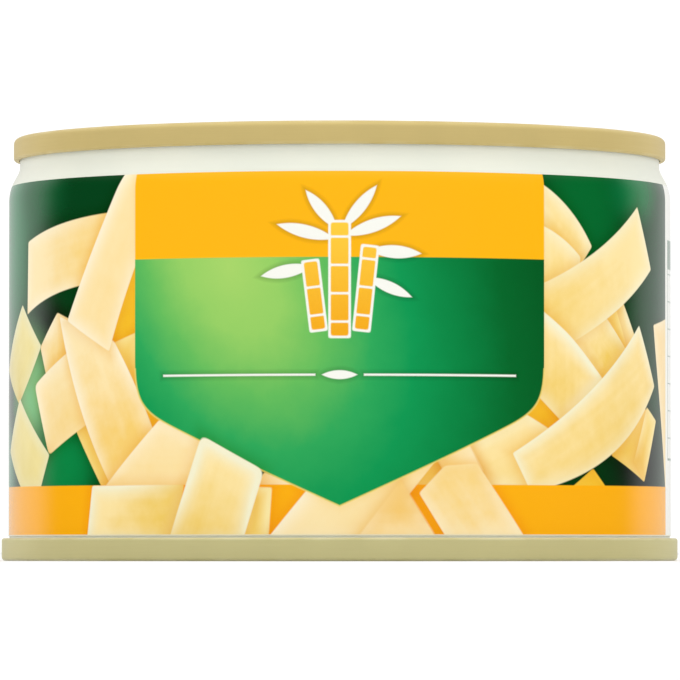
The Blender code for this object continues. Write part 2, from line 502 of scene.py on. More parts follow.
@dataclass(frozen=True)
class FloorFinish(Finish):
    """The studio's pale matt floor."""

    exposure: float = 1.12
    colour: Shade = (255, 255, 255)
    shade: Shade = (251, 251, 250)

    def surface(self, graph: Graph) -> dict[str, Value]:
        """A barely mottled matt surface."""
        cloud = graph.noise(graph.place(), 6.0, 2.0)
        return {"Base Color": graph.mix(cloud, self.shown(self.shade), self.shown(self.colour)), "Roughness": 0.9}


BARE_PAPER = GrainFinish(
    "bare_paper",
    light=(243, 242, 236),
    dark=(226, 223, 212),
    finer_up=3.0,
    scale=1400.0,
    detail=4.0,
    contrast=(1.8, -0.4),
    roughness=(0.85, 0.0),
    relief=0.01 * MM,
)
GOLD_LACQUER = LacquerFinish("gold_lacquered_tinplate", seam_heights=(51.6 * MM, 54.5 * MM))
KHAKI_LACQUER = LacquerFinish(
    "khaki_lacquered_tinplate",
    colour=(217, 209, 150),
    shade=(212, 204, 146),
    worn=(238, 232, 198),
    seam_side=41.5 * MM,
)


# ---------------------------------------------------------------- the wrap's artwork


class Tone(Enum):
    """How a cut strip of shoot is coloured: its light side, its deep side and its rim."""

    CREAM = ((255, 232, 178), (249, 209, 114), (255, 243, 214))
    PALE = ((255, 231, 166), (243, 205, 98), (247, 242, 210))
    GOLD = ((248, 214, 108), (238, 182, 40), (252, 232, 166))
    AMBER = ((247, 194, 40), (241, 174, 0), (248, 204, 70))
    PEACH = ((255, 227, 168), (248, 203, 112), (255, 240, 206))
    LEAFY = ((242, 226, 152), (226, 204, 104), (232, 232, 196))


@dataclass(frozen=True)
class Strip:
    """One cut strip of shoot in the print."""

    corners: tuple[Point, ...]
    tone: Tone
    deepens: float
    depth: float = 1.0
    rim: float = 0.7
    bows: tuple[float, ...] = ()
    softness: float = 0.17
    rounding: float = 0.5

    def ordered(self) -> tuple[tuple[Point, ...], tuple[float, ...]]:
        """The corners anticlockwise, with each side's bow beside its first corner."""
        bows = self.bows + (0.0,) * (len(self.corners) - len(self.bows))
        area = 0.0
        for (s0, h0), (s1, h1) in zip(self.corners, self.corners[1:] + self.corners[:1]):
            area += s0 * h1 - s1 * h0
        if area > 0:
            return self.corners, bows
        return self.corners[::-1], bows[-2::-1] + bows[-1:]


@dataclass(frozen=True)
class Pool:
    """A soft pool of colour in the print's dark ground."""

    centre: Point
    reach: Point
    colour: Shade


@dataclass(frozen=True)
class Leaf:
    """A pointed leaf, from its base to its tip."""

    base: Point
    tip: Point
    width: float


@dataclass(frozen=True)
class Cane:
    """A jointed bamboo cane, from its foot up."""

    foot: Point
    lean: float
    length: float
    half_width: float


GROUND = (2, 66, 26)
POOLS = (
    Pool((-60.0, 42.0), (16.0, 22.0), (10, 124, 72)),
    Pool((-47.0, 47.0), (9.0, 7.0), (0, 92, 46)),
    Pool((-44.0, 30.0), (9.0, 4.5), (14, 38, 14)),
    Pool((-50.0, 21.5), (9.5, 11.0), (112, 186, 116)),
    Pool((-41.0, 12.0), (12.0, 9.0), (0, 134, 66)),
    Pool((-62.0, 12.0), (8.0, 8.0), (40, 130, 90)),
    Pool((34.0, 44.0), (14.0, 14.0), (0, 104, 44)),
    Pool((46.0, 47.0), (9.0, 6.0), (0, 118, 62)),
    Pool((54.0, 30.0), (9.0, 14.0), (6, 66, 34)),
    Pool((47.0, 12.0), (14.0, 10.0), (10, 26, 8)),
)

STRIPS_BEHIND_BAND = (
    Strip(((51.5, 30.0), (52.0, 27.5), (57.5, 9.0), (61.5, 9.0), (61.5, 31.5)), Tone.PEACH, 0.0, 0.6),
    Strip(((27.0, 47.0), (35.6, 39.4), (33.0, 36.5), (26.5, 39.5)), Tone.PALE, 240.0, 1.1, bows=(0.7,)),
    Strip(((26.5, 42.0), (33.5, 38.0), (33.0, 35.5), (26.5, 33.5)), Tone.PALE, 250.0, 0.9, bows=(0.4,)),
    Strip(((40.0, 32.0), (42.0, 33.0), (46.0, 27.5), (43.0, 26.0)), Tone.PALE, 200.0, 0.7),
    Strip(((38.0, 30.5), (40.5, 32.0), (43.5, 26.5), (41.5, 26.0)), Tone.GOLD, 250.0, 0.8),
    Strip(((32.0, 28.0), (35.5, 30.5), (37.5, 29.5), (33.5, 26.5)), Tone.AMBER, 0.0, 0.6),
    Strip(((31.5, 27.5), (38.0, 31.0), (43.2, 26.5), (38.0, 21.5)), Tone.PALE, 300.0, 1.4),
    Strip(((23.5, 18.0), (26.0, 21.5), (31.0, 18.0), (27.5, 15.5)), Tone.AMBER, 0.0, 0.8),
    Strip(
        ((25.0, 33.8), (46.1, 44.8), (50.5, 37.0), (30.0, 26.3), (25.0, 24.0)),
        Tone.PALE, 225.0, 0.9, bows=(-0.8, 0.0, 0.4),
    ),
    Strip(((25.5, 32.2), (31.5, 28.3), (37.8, 22.8), (30.0, 17.5), (25.5, 21.2)), Tone.PALE, 240.0, 1.1, 1.4),
    Strip(((47.0, 19.8), (39.5, 13.3), (48.1, 10.0), (52.4, 17.8)), Tone.GOLD, 215.0, 0.6, 1.0),
    Strip(((49.0, 19.5), (45.0, 12.5), (48.1, 10.0), (52.4, 17.8)), Tone.GOLD, 215.0, 0.9, 1.0),
    Strip(((31.5, 9.0), (35.8, 11.6), (38.7, 9.0)), Tone.AMBER, 0.0, 0.6),
    Strip(((15.5, 14.3), (24.4, 18.3), (28.4, 16.3), (26.0, 9.0), (18.0, 9.0)), Tone.PALE, 320.0, 0.6),
    Strip(
        ((22.5, 13.4), (46.6, 29.8), (51.8, 22.2), (25.2, 8.6)),
        Tone.PALE, 300.0, 0.9, 1.0, bows=(-0.7, 0.0, 2.3),
    ),
    Strip(
        ((-50.5, 40.5), (-50.8, 31.3), (-31.0, 35.0), (-30.5, 43.6)),
        Tone.CREAM, 0.0, 0.9, bows=(0.0, -0.8, 0.0, 0.5),
    ),
    Strip(((-25.5, 42.0), (-32.5, 28.0), (-25.0, 15.5), (-22.0, 18.0)), Tone.AMBER, 330.0, 0.8),
    Strip(((-27.0, 28.5), (-31.5, 27.0), (-31.0, 25.0), (-27.0, 22.0)), Tone.GOLD, 290.0, 0.8, 0.6),
    Strip(((-42.0, 31.3), (-46.5, 27.0), (-44.8, 23.3), (-38.5, 21.5), (-38.0, 30.0)), Tone.CREAM, 300.0, 1.3),
    Strip(((-38.0, 16.6), (-32.7, 9.0), (-31.2, 10.0), (-35.6, 17.6)), Tone.GOLD, 30.0, 0.5, 0.4),
    Strip(((-48.2, 22.2), (-44.1, 13.3), (-35.0, 17.4), (-38.0, 27.0)), Tone.CREAM, 300.0, 0.7, rounding=1.4),
    Strip(
        ((-52.8, 32.6), (-46.3, 27.2), (-54.4, 20.0), (-62.5, 24.5)),
        Tone.LEAFY, 250.0, 0.8, bows=(0.0, 0.5),
    ),
    Strip(((-54.0, 20.7), (-44.0, 13.4), (-46.5, 9.0), (-53.0, 9.0), (-60.5, 14.0)), Tone.LEAFY, 250.0, 0.6),
    Strip(
        ((-41.5, 30.8), (-31.4, 9.6), (-23.4, 13.6), (-30.8, 27.5)),
        Tone.CREAM, 300.0, 1.2, 1.0, bows=(0.9, 0.0, 0.5),
    ),
    Strip(((-23.5, 17.6), (-32.6, 9.0), (-19.2, 9.0), (-17.2, 14.9)), Tone.CREAM, 270.0, 0.6),
    Strip(
        ((-28.5, 49.5), (-39.7, 30.2), (-31.6, 26.2), (-20.8, 49.0)),
        Tone.CREAM, 330.0, 0.5, 1.0, bows=(0.0, 0.0, -0.6),
    ),
    Strip(((-9.4, 11.0), (-4.5, 9.0), (-10.5, 9.0)), Tone.PEACH, 180.0, 0.8),
    Strip(((6.0, 10.5), (13.5, 14.0), (15.0, 9.0), (6.0, 9.0)), Tone.GOLD, 270.0, 0.7),
    Strip(((12.2, 12.6), (14.2, 9.0), (19.0, 9.0), (16.3, 14.8)), Tone.CREAM, 180.0, 0.6),
)

STRIPS_OVER_BAND = (
    Strip(((12.0, 12.8), (14.3, 9.9), (18.3, 11.2), (16.2, 14.8)), Tone.CREAM, 240.0, 0.8, 0.3, softness=0.4),
    Strip(((-11.5, 9.2), (-13.0, 2.0), (-8.9, 2.0), (-8.4, 9.1)), Tone.GOLD, 180.0, 0.5, 1.4),
    Strip(((-34.6, 9.4), (-35.7, 2.0), (-21.5, 2.0), (-20.0, 9.5)), Tone.PALE, 0.0, 1.0, 1.2),
    Strip(((-1.2, 12.4), (-4.3, 8.6), (-9.8, 2.0), (3.5, 2.0), (12.8, 13.3)), Tone.CREAM, 0.0, 0.4, 0.9),
    Strip(((7.6, 10.0), (1.5, 2.0), (12.7, 2.0)), Tone.PEACH, 100.0, 1.3, 0.4, softness=0.3),
    Strip(((9.9, 8.4), (13.2, 11.8), (17.5, 12.1), (25.0, 2.0), (14.0, 2.0)), Tone.CREAM, 95.0, 1.2, 0.6),
)

STRIP_OVER_PANEL = Strip(
    ((-17.6, 15.6), (-22.4, 2.0), (-12.3, 2.0), (-9.4, 11.2)), Tone.PALE, 250.0, 0.9, 1.6, rounding=1.6
)

SHIELD_STOPS = (
    (0.0, (168, 214, 105)),
    (0.13, (150, 208, 100)),
    (0.25, (100, 190, 92)),
    (0.36, (44, 170, 90)),
    (0.46, (4, 154, 82)),
    (0.58, (0, 134, 66)),
    (0.74, (0, 104, 42)),
    (0.95, (1, 84, 30)),
)

LEAVES = (
    Leaf((0.3, 41.0), (4.6, 46.4), 1.5),
    Leaf((-0.3, 41.0), (-4.2, 45.8), 1.5),
    Leaf((0.6, 40.2), (7.6, 42.6), 1.6),
    Leaf((-0.6, 39.8), (-7.8, 41.6), 1.6),
    Leaf((3.6, 38.4), (10.2, 38.0), 1.6),
    Leaf((-3.4, 36.4), (-9.8, 35.2), 1.6),
    Leaf((3.4, 35.0), (9.0, 32.6), 1.4),
)

CANES = (
    Cane((-2.6, 28.6), -7.0, 8.4, 0.85),
    Cane((2.7, 28.6), 6.0, 10.2, 0.85),
    Cane((0.0, 27.8), 0.0, 14.0, 1.1),
)

RULE_BEAD = Leaf((-2.2, 23.0), (2.2, 23.0), 1.1)


@dataclass(frozen=True)
class WrapFinish(Finish):
    """The printed gloss paper: two like faces, front and back, with a plain table at each side."""

    radius: float = 42.8
    side_start: float = math.radians(77.1)
    side_end: float = math.radians(96.0)
    cream_edge: float = 3.3
    band_top: float = 9.45
    orange_foot: float = 37.55
    panel_half: float = 27.3
    shield_tip: float = 6.8
    shield_slope: float = 0.455
    shield_rounding: float = 6.0
    top_orange: Shade = (255, 184, 6)
    band_orange: Shade = (255, 178, 0)
    white: Shade = (248, 248, 240)
    rule: Shade = (40, 104, 66)
    golden_line: Shade = (240, 214, 110)
    golden_line_top: float = 24.0
    foot_cream: Shade = (236, 230, 205)
    strip_shadow: Colour = (0.90, 0.66, 0.26, 1.0)
    shadow_fade: float = 0.45
    fibre_pitch: float = 0.7
    rim_fade: float = 0.36
    panel_shadow: Colour = (0.95, 0.80, 0.45, 1.0)
    glow_centre: Point = (-14.0, 36.5)
    glow_reach: Point = (46.0, 64.0)
    glow_lean: float = 0.3
    emblem_shadow: Shade = (0, 70, 30)
    cane_foot: Shade = (246, 168, 8)
    cane_top: Shade = (255, 206, 60)
    joint_pitch: float = 3.5
    joint_half: float = 0.14
    rule_height: float = 23.0
    rule_middle: float = 13.0
    rule_half: Point = (10.0, 0.13)
    table_middle: float = 27.0
    table_half: Point = (5.3, 14.0)
    header_middle: float = 39.2
    header_half: float = 1.8
    row_pitch: float = 3.5
    column_aside: float = 1.2
    frame_half: float = 0.14
    line_half: float = 0.06
    print_edge: float = 8.0
    emblem_edge: float = 7.0
    table_edge: float = 9.0
    foot_edge: float = 10.0

    def layout(self, graph: Graph, place: Field) -> tuple[Field, Field, Field, Field]:
        """Where a point is in the artwork.

        Args:
            graph: The wrap's graph.
            place: The point on the can.

        Returns:
            The distance along its face from the face's middle and its height, in millimetres, those two
            with 1 as a vector, and its angle from the middle of its face.
        """
        x, y, z = graph.split(place)
        bearing = graph.math("ARCTAN2", x, -y)
        angle = graph.math("WRAP", bearing, math.pi / 2, -math.pi / 2)
        along = angle * self.radius
        height = z * (1 / MM)
        return along, height, graph.pack(along, height, 1.0), angle

    def half_plane(self, graph: Graph, point: Field, first: Point, second: Point, bow: float) -> Field:
        """How far outside one side of an anticlockwise shape a point is.

        Args:
            graph: The wrap's graph.
            point: The point in the artwork.
            first: The corner where the side starts.
            second: The corner where it ends.
            bow: How far the side swells outwards at its middle.

        Returns:
            The distance, below 0 inside.
        """
        run = Vector((second[0] - first[0], second[1] - first[1]))
        size = run.length
        run.normalize()
        normal = (run.y, -run.x)
        distance = graph.dot(point, (normal[0], normal[1], -(normal[0] * first[0] + normal[1] * first[1])))
        if bow == 0.0:
            return distance
        middle = ((first[0] + second[0]) / 2, (first[1] + second[1]) / 2)
        share = graph.dot(
            point,
            (run.x * 2 / size, run.y * 2 / size, -(run.x * middle[0] + run.y * middle[1]) * 2 / size),
        )
        return distance + graph.math("MULTIPLY_ADD", share * share, bow, -bow)

    def outline(self, graph: Graph, point: Field, strip: Strip) -> Field:
        """How far outside a strip a point is, below 0 inside it."""
        corners, bows = strip.ordered()
        distance: Field | None = None
        for corner, following, bow in zip(corners, corners[1:] + corners[:1], bows):
            side = self.half_plane(graph, point, corner, following, bow)
            distance = side if distance is None else graph.larger(distance, side, strip.rounding)
        return distance

    def paint_strip(self, graph: Graph, point: Field, mottle: Field, canvas: Field, strip: Strip) -> Field:
        """Lays one strip on the canvas with its shadow, its grain and its paler rim.

        Args:
            graph: The wrap's graph.
            point: The point in the artwork.
            mottle: Soft clouds that all the strips share.
            canvas: What is painted so far.
            strip: The strip to lay on it.

        Returns:
            The canvas with the strip on it.
        """
        light, deep, rim = (self.shown(colour) for colour in strip.tone.value)
        distance = self.outline(graph, point, strip)
        shadow = graph.line(distance, -self.shadow_fade, 1.0)
        canvas = graph.mix(shadow * shadow * 0.6, canvas, self.strip_shadow, "MULTIPLY")
        corners = strip.corners
        centre = (sum(c[0] for c in corners) / len(corners), sum(c[1] for c in corners) / len(corners))
        reach = max(math.dist(centre, corner) for corner in corners)
        turned = math.radians(strip.deepens)
        across = (math.cos(turned) / reach, math.sin(turned) / reach)
        slant = graph.dot(point, (across[0], across[1], -(across[0] * centre[0] + across[1] * centre[1])))
        sides = list(zip(corners, corners[1:] + corners[:1]))
        start, end = max(sides, key=lambda side: math.dist(*side))
        grain_run = (Vector(end) - Vector(start)).normalized()
        fibre_across = (-grain_run.y * self.fibre_pitch, grain_run.x * self.fibre_pitch, centre[0])
        fibres = graph.streaks(graph.dot(point, fibre_across))
        patch = slant * 0.85 + (fibres - 0.5) * 0.32 + (mottle - 0.5) * 0.9
        share = graph.line(patch, strip.depth, 0.42 * strip.depth)
        colour = graph.mix(share, light, deep)
        near = graph.line(distance, self.rim_fade, 1.0)
        lit = graph.line(slant, -0.8, 0.85)
        colour = graph.mix(near * near * lit * strip.rim, colour, rim)
        return graph.mix(graph.step(distance, 0.0, -1 / strip.softness), canvas, colour)

    def paint_ground(self, graph: Graph, point: Field) -> Field:
        """The dark green ground with its pools of lighter and darker green."""
        canvas: Value = self.shown(GROUND)
        for pool in POOLS:
            scale = (1 / pool.reach[0], 1 / pool.reach[1], 0.0)
            shift = (-pool.centre[0] / pool.reach[0], -pool.centre[1] / pool.reach[1], 0.0)
            away = graph.length(graph.stretch(point, scale, shift))
            canvas = graph.mix(graph.ease(away, 1.0, 0.15), canvas, self.shown(pool.colour))
        return canvas

    def paint_band(self, graph: Graph, canvas: Field, height: Field) -> Field:
        """The orange band round the foot of the wrap."""
        share = graph.step(height, self.band_top, -self.print_edge)
        return graph.mix(share, canvas, self.shown(self.band_orange))

    def paint_panel(
        self, graph: Graph, canvas: Field, along: Field, height: Field, point: Field, mottle: Field
    ) -> Field:
        """The face's panel: orange above a green shield that glows on its left.

        Returns:
            The canvas with the panel on it.
        """
        side = abs(along) - self.panel_half
        cosine = 1 / math.hypot(1.0, self.shield_slope)
        slope = (abs(along) * self.shield_slope + (self.shield_tip - height)) * cosine
        distance = graph.larger(side, slope, self.shield_rounding)
        shadow = graph.line(distance, -0.8, 0.8)
        canvas = graph.mix(shadow * 0.35, canvas, self.panel_shadow, "MULTIPLY")
        (centre, level), (reach, rise), lean = self.glow_centre, self.glow_reach, self.glow_lean
        aside = graph.dot(point, (1 / reach, lean / reach, -(centre + lean * level) / reach))
        below = graph.dot(point, (0.0, 1 / rise, -level / rise))
        away = graph.length(graph.pack(aside, below, 0.0))
        stops = tuple((place, self.shown(colour)) for place, colour in SHIELD_STOPS)
        ramp = graph.node("ShaderNodeValToRGB", {"stops": stops}, {0: away + (mottle - 0.5) * 0.05})
        green = graph.field(ramp)
        top = graph.step(height, self.orange_foot, self.print_edge)
        panel = graph.mix(top, green, self.shown(self.top_orange))
        edge = graph.line(abs(distance), -7.0, 1.2) * graph.step(height, self.golden_line_top, -self.print_edge)
        canvas = graph.mix(graph.step(distance, 0.0, -self.print_edge), canvas, panel)
        return graph.mix(edge * 0.8, canvas, self.shown(self.golden_line))

    def leaf_distance(self, graph: Graph, point: Field, leaf: Leaf) -> Field:
        """How far outside a leaf a point is: the shape that two circles share."""
        base, tip = Vector(leaf.base), Vector(leaf.tip)
        run = tip - base
        half, bulge = run.length / 2, leaf.width / 2
        size = (half * half + bulge * bulge) / (2 * bulge)
        middle = (base + tip) / 2
        outwards = Vector((-run.y, run.x)).normalized() * (size - bulge)
        first = graph.distance(point, (*(middle + outwards), 1.0))
        second = graph.distance(point, (*(middle - outwards), 1.0))
        return graph.larger(first, second) - size

    def cane_distance(self, graph: Graph, point: Field, cane: Cane) -> Field:
        """How far outside a cane a point is: a row of short lengths with a gap at each joint."""
        lean = math.radians(cane.lean)
        up = (math.sin(lean), math.cos(lean))
        along = graph.dot(point, (*up, -(up[0] * cane.foot[0] + up[1] * cane.foot[1])))
        across = graph.dot(point, (up[1], -up[0], -(up[1] * cane.foot[0] - up[0] * cane.foot[1])))
        half = cane.length / 2
        inside = graph.larger(abs(across) - cane.half_width, abs(along - half) - half, 0.5)
        joint = abs(graph.math("WRAP", along, self.joint_pitch, 0.0) - self.joint_pitch / 2) - self.joint_half
        return graph.larger(inside, -joint, 0.3)

    def paint_emblem(self, graph: Graph, canvas: Field, along: Field, height: Field, point: Field) -> Field:
        """Three golden canes and their white leaves on the panel, with a plain rule under them.

        Returns:
            The canvas with them on it.
        """
        half_length, half_line = self.rule_half
        past_end = abs(abs(along) - self.rule_middle) - half_length
        rule = graph.larger(past_end, abs(height - self.rule_height) - half_line)
        leaves = graph.smaller(rule, self.leaf_distance(graph, point, RULE_BEAD))
        for leaf in LEAVES:
            leaves = graph.smaller(leaves, self.leaf_distance(graph, point, leaf))
        shadow = graph.line(leaves, -1.4, 0.9) * 0.35
        canvas = graph.mix(shadow, canvas, self.shown(self.emblem_shadow), "MULTIPLY")
        canvas = graph.mix(graph.step(leaves, 0.0, -self.emblem_edge), canvas, self.shown(self.white))
        canes = self.cane_distance(graph, point, CANES[0])
        for cane in CANES[1:]:
            canes = graph.smaller(canes, self.cane_distance(graph, point, cane))
        gold = graph.mix(graph.line(height, 0.07, -1.9), self.shown(self.cane_foot), self.shown(self.cane_top))
        canvas = graph.mix(graph.line(canes, -self.emblem_edge, 2.6), canvas, self.shown(self.white))
        return graph.mix(graph.step(canes, 0.0, -self.emblem_edge), canvas, gold)

    def paint_side(self, graph: Graph, canvas: Field, angle: Field, height: Field) -> Field:
        """The white panel at each side, with a plain ruled table.

        Returns:
            The canvas with the side panels on it.
        """
        middle = (self.side_start + self.side_end) / 2
        half = (self.side_end - self.side_start) / 2 * self.radius
        aside = graph.math("WRAP", angle - middle, math.pi / 2, -math.pi / 2) * self.radius
        canvas = graph.mix(graph.step(abs(aside) - half, 0.0, -self.table_edge), canvas, self.shown(self.white))
        half_width, half_height = self.table_half
        table = graph.larger(abs(aside) - half_width, abs(height - self.table_middle) - half_height)
        outline = abs(table) - self.frame_half
        row = abs(graph.math("WRAP", height, self.row_pitch, 0.0) - self.row_pitch / 2) - self.line_half
        column = abs(aside - self.column_aside) - self.line_half
        header = graph.larger(abs(aside) - half_width, abs(height - self.header_middle) - self.header_half)
        ruled = graph.larger(graph.smaller(row, column), table)
        ink = graph.smaller(graph.smaller(outline, ruled), header)
        return graph.mix(graph.step(ink, 0.0, -self.table_edge) * 0.85, canvas, self.shown(self.rule))

    def surface(self, graph: Graph) -> dict[str, Value]:
        """The whole artwork, under a gloss varnish."""
        place = graph.place()
        mottle = graph.noise(place, 300.0, 3.0, 0.55)
        along, height, point, angle = self.layout(graph, place)
        canvas = self.paint_ground(graph, point)
        for strip in STRIPS_BEHIND_BAND:
            canvas = self.paint_strip(graph, point, mottle, canvas, strip)
        canvas = self.paint_band(graph, canvas, height)
        for strip in STRIPS_OVER_BAND:
            canvas = self.paint_strip(graph, point, mottle, canvas, strip)
        canvas = self.paint_panel(graph, canvas, along, height, point, mottle)
        canvas = self.paint_strip(graph, point, mottle, canvas, STRIP_OVER_PANEL)
        canvas = self.paint_emblem(graph, canvas, along, height, point)
        canvas = self.paint_side(graph, canvas, angle, height)
        foot = graph.step(height, self.cream_edge, -self.foot_edge)
        canvas = graph.mix(foot, canvas, self.shown(self.foot_cream))
        sheen = graph.noise(place, 40.0, 2.0)
        grain = graph.noise(place, 1800.0, 2.0)
        return {
            "Base Color": canvas,
            "Roughness": 0.14 + sheen * 0.06,
            "IOR": 1.42,
            "Normal": graph.bump(sheen * 6.0 + grain * 0.4, 0.006 * MM),
        }


# ---------------------------------------------------------------- turned shapes


@dataclass(frozen=True)
class Corner:
    """A corner of a turned outline and the radius it is rounded to."""

    radius: float
    height: float
    rounding: float = 0.0

    @property
    def point(self) -> Vector:
        """The corner as a vector."""
        return Vector((self.radius, self.height))


def offset_corners(corners: list[Corner], thickness: float) -> list[Corner]:
    """The other side of a sheet of this thickness, to the right of the corners' line.

    Args:
        corners: One side of the sheet.
        thickness: How thick the sheet is.

    Returns:
        The other side, in the same order.
    """
    runs = [(b.point - a.point).normalized() for a, b in zip(corners, corners[1:])]
    rights = [Vector((run.y, -run.x)) for run in runs]
    shifted = []
    for index, corner in enumerate(corners):
        before = rights[max(index - 1, 0)]
        after = rights[min(index, len(rights) - 1)]
        mitre = before + after
        mitre = mitre * (thickness / mitre.dot(after))
        place = corner.point + mitre
        turn = before.x * after.y - before.y * after.x
        rounding = corner.rounding + (thickness if turn > 0 else -thickness)
        rounding = max(rounding, LEAST_ROUNDING) if corner.rounding else 0.0
        shifted.append(Corner(max(place.x, 0.0), place.y, rounding))
    return shifted


def rounded(corners: list[Corner], steps: int = 6) -> list[Point]:
    """A line through the corners with each rounded off.

    Args:
        corners: The corners in order.
        steps: How many short runs each rounding has.

    Returns:
        The line's points.
    """
    points = [tuple(corners[0].point)]
    for before, corner, after in zip(corners, corners[1:], corners[2:]):
        incoming = (corner.point - before.point).normalized()
        outgoing = (after.point - corner.point).normalized()
        bend = incoming.angle(outgoing)
        if corner.rounding == 0.0 or bend < NO_BEND:
            points.append(tuple(corner.point))
            continue
        room = ROUNDING_ROOM * min((corner.point - before.point).length, (after.point - corner.point).length)
        reach = min(corner.rounding * math.tan(bend / 2), room)
        radius = reach / math.tan(bend / 2)
        start = corner.point - incoming * reach
        side = 1.0 if incoming.x * outgoing.y - incoming.y * outgoing.x > 0 else -1.0
        centre = start + Vector((-incoming.y, incoming.x)) * radius * side
        arm = start - centre
        for step in range(steps + 1):
            angle = side * bend * step / steps
            turned = Vector((
                arm.x * math.cos(angle) - arm.y * math.sin(angle),
                arm.x * math.sin(angle) + arm.y * math.cos(angle),
            ))
            points.append(tuple(centre + turned))
    points.append(tuple(corners[-1].point))
    return points


def lathe(name: str, outline: list[Point], segments: int) -> bpy.types.Object:
    """Turns a closed outline round the can's axis.

    Args:
        name: The piece's name.
        outline: (radius, height) points in order; those on the axis become poles.
        segments: How many facets go round.

    Returns:
        The piece, with a map of its own for baking.
    """
    vertices: list[tuple[float, float, float]] = []
    rings: list[list[int]] = []
    for radius, height in outline:
        first = len(vertices)
        if radius < ON_AXIS:
            vertices.append((0.0, 0.0, height))
            rings.append([first] * segments)
            continue
        for segment in range(segments):
            angle = FULL_TURN * segment / segments
            vertices.append((radius * math.cos(angle), radius * math.sin(angle), height))
        rings.append(list(range(first, first + segments)))
    lengths = [0.0]
    closed = list(zip(outline, outline[1:] + outline[:1]))
    for (r0, h0), (r1, h1) in closed:
        lengths.append(lengths[-1] + math.hypot(r1 - r0, h1 - h0))
    faces: list[tuple[int, ...]] = []
    places: list[Point] = []
    for index, (ring, following) in enumerate(zip(rings, rings[1:] + rings[:1])):
        low, high = lengths[index] / lengths[-1], lengths[index + 1] / lengths[-1]
        if ring[0] == ring[1] and following[0] == following[1]:
            continue
        for segment in range(segments):
            beside = (segment + 1) % segments
            left, right = segment / segments, (segment + 1) / segments
            corners = [
                (ring[segment], (left, low)),
                (following[segment], (left, high)),
                (following[beside], (right, high)),
                (ring[beside], (right, low)),
            ]
            if ring[0] == ring[1]:
                corners = corners[:3]
            elif following[0] == following[1]:
                corners = [corners[0], corners[1], corners[3]]
            faces.append(tuple(vertex for vertex, _ in corners))
            places += [place for _, place in corners]
    return mesh_piece(name, vertices, faces, places)


def mesh_piece(
    name: str,
    vertices: list[tuple[float, float, float]],
    faces: list[tuple[int, ...]],
    places: list[Point],
) -> bpy.types.Object:
    """A piece from its vertices and faces.

    Args:
        name: The piece's name.
        vertices: Its vertices in metres.
        faces: Its faces by vertex.
        places: Each face corner's place on the map for baking.

    Returns:
        The piece, smooth between its sharp edges.
    """
    mesh = bpy.data.meshes.new(name)
    mesh.from_pydata(vertices, [], faces)
    mesh.validate()
    layer = mesh.uv_layers.new(name=BAKE_UV)
    for loop, place in zip(layer.data, places):
        loop.uv = place
    mesh.shade_smooth()
    mesh.set_sharp_from_angle(angle=SHARP_ANGLE)
    piece = bpy.data.objects.new(name, mesh)
    bpy.context.scene.collection.objects.link(piece)
    return piece


def attach(piece: bpy.types.Object, slot: str, *nodes: str) -> None:
    """Fixes a piece to the can's one body.

    Args:
        piece: The piece, in place.
        slot: The name of a material slot; not used.
        nodes: The CAD nodes it stands for.
    """
    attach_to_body(piece, "root")
    if nodes:
        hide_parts(*nodes)


# ---------------------------------------------------------------- the can's pieces


